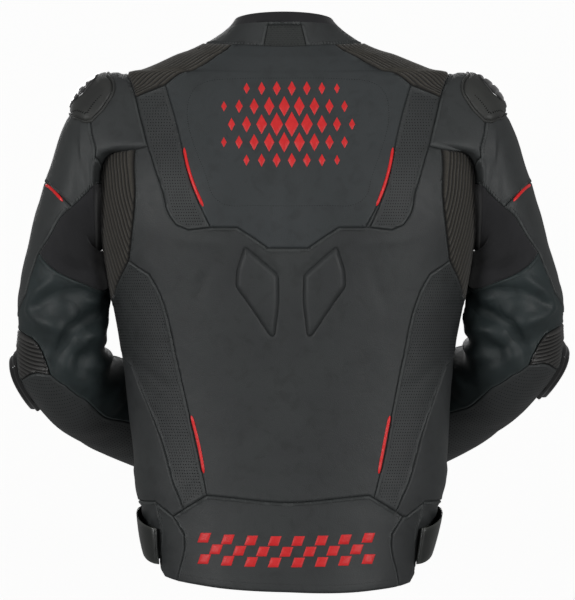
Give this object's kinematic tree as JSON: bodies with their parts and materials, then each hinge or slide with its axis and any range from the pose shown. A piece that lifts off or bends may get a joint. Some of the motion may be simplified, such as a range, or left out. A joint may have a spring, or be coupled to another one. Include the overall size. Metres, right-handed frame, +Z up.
{
  "type": "leather motorcycle jacket",
  "caption": "Filled-out leather riding jacket with ribbed stretch panels, shoulder caps, elbow sliders, perforated panels and a front zip, open at neck, hem and cuffs.",
  "frame": {"origin": "middle of the neck opening at the height of the nape, where the wearer holds the jacket up", "axes": "+Z up along the back, +Y out of the back, -Y out of the front, +X to the wearer's left"},
  "size_m": [0.6577, 0.3614, 0.6815],
  "materials": {
    "leather": "satin",
    "dark_leather": "satin",
    "perforated": "satin",
    "rib": "matte",
    "stretch": "matte",
    "tape": "matte",
    "armour": "gloss",
    "piping": "satin",
    "metal": "dark satin"
  },
  "bodies": {
    "jacket": {"back_lower": "leather", "back_perforated_left": "perforated", "back_perforated_right": "perforated", "back_upper": "leather", "collar_band": "stretch", "collar_insert": "perforated", "collar_leather": "leather", "collar_snap": "metal", "collar_tab": "leather", "cuff_left": "leather", "cuff_right": "leather", "elbow_ribs_left": "rib", "elbow_ribs_right": "rib", "elbow_slider_left": "armour", "elbow_slider_right": "armour", "forearm_inner_left": "dark_leather", "forearm_inner_right": "dark_leather", "forearm_perforated_left": "perforated", "forearm_perforated_right": "perforated", "front_left": "leather", "front_right": "leather", "hem_back": "leather", "hem_gusset_left": "leather", "hem_gusset_right": "leather", "hem_side_left": "leather", "hem_side_right": "leather", "piping_back_left": "piping", "piping_back_right": "piping", "piping_hem_left": "piping", "piping_hem_right": "piping", "piping_sleeve_left": "piping", "piping_sleeve_right": "piping", "shoulder_cap_left": "armour", "shoulder_cap_right": "armour", "shoulder_yoke_left": "rib", "shoulder_yoke_right": "rib", "side_panel_left": "leather", "side_panel_right": "leather", "side_perforated_left": "perforated", "side_perforated_right": "perforated", "side_rib_left": "rib", "side_rib_right": "rib", "sleeve_front_left": "dark_leather", "sleeve_front_right": "dark_leather", "sleeve_head_left": "leather", "sleeve_head_right": "leather", "sleeve_lower_left": "dark_leather", "sleeve_lower_right": "dark_leather", "sleeve_outer_left": "leather", "sleeve_outer_right": "leather", "sleeve_upper_left": "leather", "sleeve_upper_right": "leather", "underarm_left": "stretch", "underarm_right": "stretch", "waist_strap_left": "leather", "waist_strap_right": "leather", "zip_slider": "metal", "zip_tape": "tape"},
    "zip_pull": {"zip_pull": "metal"}
  },
  "joints": [
    {"name": "pull_swing", "type": "hinge", "parent": "jacket", "child": "zip_pull", "pos_m": [0.00202, -0.07744, -0.05283], "axis": [-0.9833, 0.0889, 0.1589], "range_deg": [0, 150]}
  ]
}
